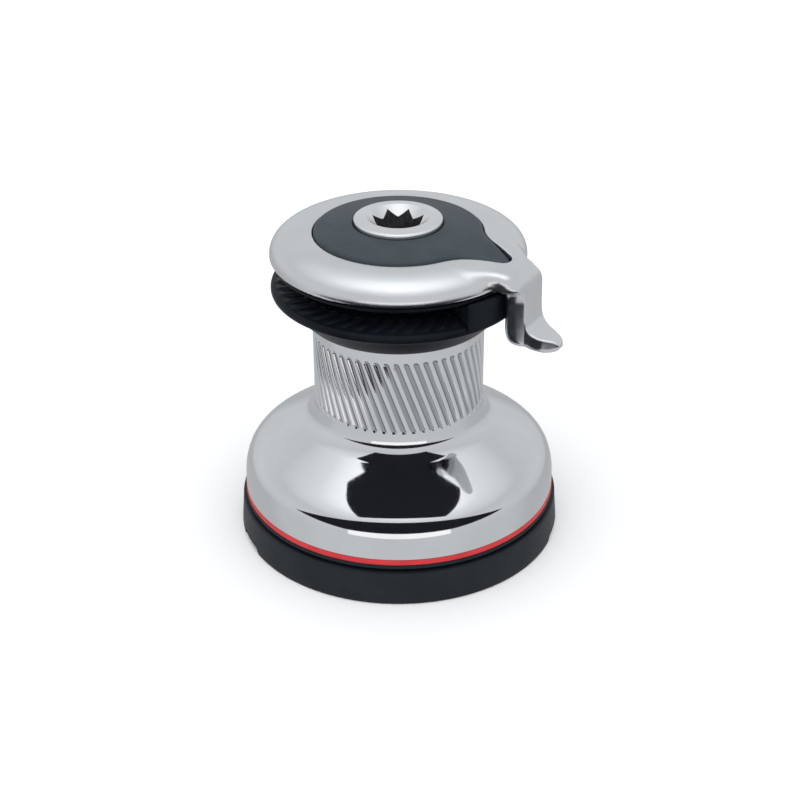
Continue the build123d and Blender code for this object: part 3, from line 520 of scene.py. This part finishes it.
def star_hole(r, z, angle):
    star = star_radius(angle) + 0 * r
    cone = (r <= MOUTH_R) & (r > MOUTH_FALL)
    share = (MOUTH_R - r) / MOUTH_FALL
    new_r = np.where(cone, MOUTH_R + (star - MOUTH_R) * share, r)
    new_z = np.where(cone, SOCKET_TOP - (MOUTH_R - new_r), z)
    deep = r <= MOUTH_FALL
    return np.where(deep, star, new_r), np.where(deep, z, new_z), angle


socket_outline = joined(
    [(16.5, SOCKET_LOW)],
    straight((16.5, SOCKET_LOW + 0.3), (16.5, 152.3), 2),
    [(18.2, 152.6)],
    bezier((18.2, 152.6), (19.8, 152.8), (SOCKET_R, 153.6), (SOCKET_R, 154.8), 5),
    [(SOCKET_R, SOCKET_TOP - 1.9)],
    bezier((SOCKET_R, SOCKET_TOP - 1.7), (SOCKET_R, SOCKET_TOP - 1.1), (20.0, SOCKET_TOP - 0.85),
           (19.5, SOCKET_TOP - 0.75), 4),
    straight((19.4, SOCKET_TOP - 0.72), (14.5, SOCKET_TOP - 0.03), 4),
    straight((MOUTH_R, SOCKET_TOP), (MOUTH_R - MOUTH_FALL, SOCKET_TOP - 1), 5),
    [(4.9, 151), (4.8, 140), (4.7, 128), (4.6, 116)],
)
turned("socket_ring", socket_outline, 384, "shaft", ["handle_socket"], "socket_steel", shape=star_hole,
       capped=True, first=STAR_TURN, crease=25)

# ---- cover, arm and insert -----------------------------------------------
INSERT_R, INSERT_GAP = 38.5, 0.25
ARM_ROUND = 3.2
RECESS_Z = 146.5
COVER_BORE_R = 17.6
STRAP_IN, STRAP_OUT = 59.9, 68.2
STRAP_TOP = (63.6, 147.6)
dome = joined(
    bezier((COVER_R, 141.2), (COVER_R, 148.6), (49.5, 152.4), (INSERT_R - 4, 151.0), 40),
    [(INSERT_R - 4, RECESS_Z - 0.5), (COVER_BORE_R, RECESS_Z - 0.5), (COVER_BORE_R, 144.8), (20.5, 144.8),
     (20.5, 142.6), (54.4, 142.6), (55.2, 140.5)],
    [(COVER_R - 0.6, 140.4)],
    [(COVER_R - 0.1, 140.7)],
)
arm_outer = joined(
    straight((40, 147.8), (46, 148.4), 3),
    bezier((46, 148.4), (53, 149.2), (60.2, 149.8), STRAP_TOP, 14),
    bezier(STRAP_TOP, (66.8, 145.2), (68.1, 142.5), (STRAP_OUT, 137.5), 14),
    straight((STRAP_OUT, 137.5), (68.4, 127.0), 6),
    bezier((68.4, 127.0), (68.6, 120.6), (71.0, 119.1), (76, 118.7), 14),
    bezier((76, 118.7), (80, 118.4), (82.8, 118.0), (ARM_TIP - 0.5, 116.4), 10),
)
arm_inner = joined(
    bezier((ARM_TIP - 0.5, 116.4), (ARM_TIP, 114.2), (83, 112.6), (79, 112.2), 8),
    bezier((79, 112.2), (75, ARM_LOW), (70, ARM_LOW), (66, 112.8), 10),
    bezier((66, 112.8), (61.6, 114.3), (STRAP_IN, 117.2), (STRAP_IN, 123), 12),
    straight((STRAP_IN, 123), (STRAP_IN, 136.5), 6),
    bezier((STRAP_IN, 136.5), (STRAP_IN, 139.5), (57, 140.9), (52, 141.4), 8),
    straight((52, 141.4), (40, 142), 2),
)


def teardrop(x, y):
    """The insert's plan: a disc with a tail along the arm."""
    near, far, start, reach = 14.5, 5.4, 32.0, 19.2
    lean = (near - far) / reach
    flat = math.sqrt(1 - lean * lean)
    px, py = np.abs(y), x - start
    along = -lean * px + flat * py
    tail = np.where(
        along < 0, np.hypot(px, py) - near,
        np.where(along > flat * reach, np.hypot(px, py - reach) - far, flat * px + lean * py - near),
    )
    return join_soft(np.hypot(x, y) - INSERT_R, tail, 5.0)


def arm_field(x, y, z):
    """The feeder arm: its side view, cut to a width that varies along it and flares under the rim."""
    outside = outline_distance(x, z, arm_outer + arm_inner[1:])
    inward = np.minimum(line_distance(x, z, arm_inner) + 1.2 * smooth((x - 66) / 6), ARM_ROUND)
    rounding = ARM_ROUND - np.sqrt(ARM_ROUND**2 - (ARM_ROUND - inward) ** 2)
    up = np.clip((z - 133.5) / 8, 0, 0.97)
    flare = 6 * (1 - np.sqrt(1 - up * up))
    across = np.clip((x - 59) / 9.6, 0, 1)
    near = 11.6 - 4.7 * across**2.2 + 5 * smooth((60 - x) / 14) - 2.6 * smooth((x - 76) / 8)
    far = 9.9 + 7 * smooth((63 - x) / 12) - 9.4 * np.clip((x - 69) / 15.5, 0, 1) ** 1.15
    side = np.maximum(-y - near - flare, y - far) + rounding
    softness = 0.6 + 3.7 * smooth((z - 139.5) / 5) * smooth((69 - x) / 5)
    return cut_soft(outside, side, softness)


DOME_STEP, DOME_REACH = 0.25, 125
dome_radii = np.arange(0, DOME_REACH, DOME_STEP)


def dome_field(r, z):
    """Distance to the turned dome, read from a table where the whole grid is asked for."""
    if r.ndim < 3:
        return outline_distance(r, z, dome)
    table = outline_distance(dome_radii[:, None], z[0], dome)
    place = r[:, :, 0] / DOME_STEP
    low = np.floor(place).astype(int)
    share = (place - low)[:, :, None]
    return table[low] * (1 - share) + table[low + 1] * share


def cover_field(x, y, z):
    r = np.hypot(x, y)
    body = join_soft(dome_field(r, z), arm_field(x, y, z), 4.0)
    recess = np.maximum(teardrop(x, y) - INSERT_GAP, RECESS_Z - z)
    body = cut_soft(body, -recess, 0.7)
    return np.maximum(body, COVER_BORE_R - r)


carved("arm_cover_chrome", cover_field, (-60, -60, 110), (ARM_TIP + 1, 60, 154), 0.55, "base",
       ["arm_cover"], "chrome")


def insert_field(x, y, z):
    r = np.hypot(x, y)
    fall = r - 20
    crown = 155.4 - 0.16 * fall - 2.0 * smooth((fall - 22) / 16)
    body = cut_soft(teardrop(x, y), z - crown, 2.2)
    return np.maximum(np.maximum(body, RECESS_Z + 0.1 - z), SOCKET_R + 0.35 - r)


carved("insert_plate", insert_field, (-40, -40, 145), (59, 40, 157), 0.5, "base", ["top_insert"],
       "insert_black")

# ---- stripper ------------------------------------------------------------
stripper = softened([
    (47.6, 130.6), (57.2, 128.1), (59.2, 127.6), (59.2, STRIPPER_LOW[2]), (59.8, STRIPPER_LOW[2]),
    (59.8, 138.3), (58.0, 138.3), (57.7, 137.1), (47.6, 133.3),
], 0.5)


STRIPPER_MIDDLE, STRIPPER_HALF = math.radians(-11), math.radians(18)


def stripper_field(x, y, z):
    r = np.hypot(x, y)
    off = np.abs(np.arctan2(y, x) - STRIPPER_MIDDLE) - STRIPPER_HALF
    return cut_soft(outline_distance(r, z, stripper), r * off, 0.8)


carved("stripper_block", stripper_field, (40, -31, 124), (61, 9, 140), 0.4, "base", ["rope_stripper"],
       "black_plastic")

# ---- floor, light and camera ---------------------------------------------
AZIMUTH, ELEVATION = math.radians(31.0), math.radians(29.79)
toward = Vector((math.sin(AZIMUTH), -math.cos(AZIMUTH), 0))  # from the axis to the camera, level
right = Vector((math.cos(AZIMUTH), math.sin(AZIMUTH), 0))
up = Vector((0, 0, 1))


def glow(name, colour, strength):
    """A surface that only gives light."""
    made = bpy.data.materials.new(name)
    made.use_nodes = True
    made.node_tree.nodes.clear()
    out = made.node_tree.nodes.new("ShaderNodeOutputMaterial")
    light = made.node_tree.nodes.new("ShaderNodeEmission")
    light.inputs["Color"].default_value = (*colour, 1)
    light.inputs["Strength"].default_value = strength
    made.node_tree.links.new(light.outputs["Emission"], out.inputs["Surface"])
    return made


def card(name, centre, across, along, wide, tall, material, seen=True):
    """A flat card: the floor, or one that lights or darkens what the metal reflects."""
    c, a, b = Vector(centre), across * (wide / 2), along * (tall / 2)
    mesh = bpy.data.meshes.new(name)
    mesh.from_pydata([c - a - b, c + a - b, c + a + b, c - a + b], [], [(0, 1, 2, 3)])
    obj = bpy.data.objects.new(name, mesh)
    bpy.context.scene.collection.objects.link(obj)
    mesh.materials.append(material)
    obj.visible_camera = seen
    return obj


floor_finish = bpy.data.materials.new("floor_white")
floor_finish.use_nodes = True
floor_shader = floor_finish.node_tree.nodes["Principled BSDF"]
floor_shader.inputs["Base Color"].default_value = (0.93, 0.93, 0.93, 1)
floor_shader.inputs["Roughness"].default_value = 0.9
floor_shader.inputs["Specular IOR Level"].default_value = 0.1
floor = card("floor", (0, 0, -0.0002), Vector((1, 0, 0)), Vector((0, 1, 0)), 12, 12, floor_finish)
floor.visible_glossy = False

black = glow("card_black", (0.012, 0.014, 0.018), 1.0)
white = glow("card_white", (1.0, 1.0, 1.0), 1.15)
card("front_white", toward * 1.1 + up * 0.03, right, up, 1.5, 0.28, white, seen=False)
for name, reach, high, wide, deep in (
    ("block_flag", 0.074, 0.108, 0.104, 0.056),
    ("smile_flag", 0.252, 0.080, 0.56, 0.296),
):
    place = toward * reach + right * 0.004 + up * high
    flag = card(name, place, right, toward, wide, deep, black, seen=False)
    flag.visible_diffuse = False
    flag.visible_shadow = False
    flag.visible_transmission = False

# each pair: the sine of the height above the horizon, then the brightness
sky_by_height = ((0.0, 0.66), (0.25, 0.70), (0.60, 0.66), (0.84, 0.88), (1.0, 1.4))
world = bpy.data.worlds.new("studio")
world.use_nodes = True
sky = world.node_tree
way = sky.nodes.new("ShaderNodeTexCoord")
parts = sky.nodes.new("ShaderNodeSeparateXYZ")
front = sky.nodes.new("ShaderNodeVectorMath")
front.operation = "DOT_PRODUCT"
front.inputs[1].default_value = toward
sky.links.new(way.outputs["Generated"], parts.inputs["Vector"])
sky.links.new(way.outputs["Generated"], front.inputs[0])


def sky_ramp(source, levels):
    """A slightly cool grey that follows the source."""
    ramp = sky.nodes.new("ShaderNodeValToRGB")
    sky.links.new(source, ramp.inputs["Fac"])
    while len(ramp.color_ramp.elements) < len(levels):
        ramp.color_ramp.elements.new(0.5)
    for stop, (place, level) in zip(ramp.color_ramp.elements, levels):
        stop.position = place
        stop.color = (level * 0.96, level * 0.98, level, 1)
    return ramp.outputs["Color"]


def sky_range(source, low, high):
    spread = sky.nodes.new("ShaderNodeMapRange")
    spread.inputs["From Min"].default_value = low
    spread.inputs["From Max"].default_value = high
    sky.links.new(source, spread.inputs["Value"])
    return spread.outputs["Result"]


above = sky_ramp(parts.outputs["Z"], sky_by_height)
# below the horizon: from behind the object, at 0, to the camera's side, at 1
ground_by_side = ((0.0, 0.50), (0.36, 0.55), (0.5, 0.62), (1.0, 0.66))
below = sky_ramp(sky_range(front.outputs["Value"], -1, 1), ground_by_side)
blend = sky.nodes.new("ShaderNodeMix")
blend.data_type = "RGBA"
sky.links.new(sky_range(parts.outputs["Z"], -0.15, 0.0), blend.inputs["Factor"])
sky.links.new(below, blend.inputs["A"])
sky.links.new(above, blend.inputs["B"])
sky.links.new(blend.outputs["Result"], sky.nodes["Background"].inputs["Color"])
sky.nodes["Background"].inputs["Strength"].default_value = 1.0
bpy.context.scene.world = world

lamp_data = bpy.data.lights.new("soft_sun", "SUN")
lamp_data.energy = 1.3
lamp_data.angle = math.radians(80)
lamp = bpy.data.objects.new("soft_sun", lamp_data)
bpy.context.scene.collection.objects.link(lamp)
lamp.visible_glossy = False
lamp.rotation_euler = (math.radians(18), math.radians(8), 0)

bpy.context.scene.view_settings.view_transform = "Standard"

camera_data = bpy.data.cameras.new("camera")
camera_data.lens = 69.96
camera_data.sensor_width = 36.0
camera_data.shift_x = 0.0015
camera = bpy.data.objects.new("camera", camera_data)
bpy.context.scene.collection.objects.link(camera)
look_at = Vector((0, 0, 0.06293))
DISTANCE, ROLL = 0.7443, math.radians(-0.217)
back = toward * math.cos(ELEVATION) + up * math.sin(ELEVATION)
camera.location = look_at + back * DISTANCE
camera.rotation_mode = "QUATERNION"
level = (-back).to_track_quat("-Z", "Y")
camera.rotation_quaternion = level @ Matrix.Rotation(ROLL, 3, "Z").to_quaternion()
bpy.context.scene.camera = camera
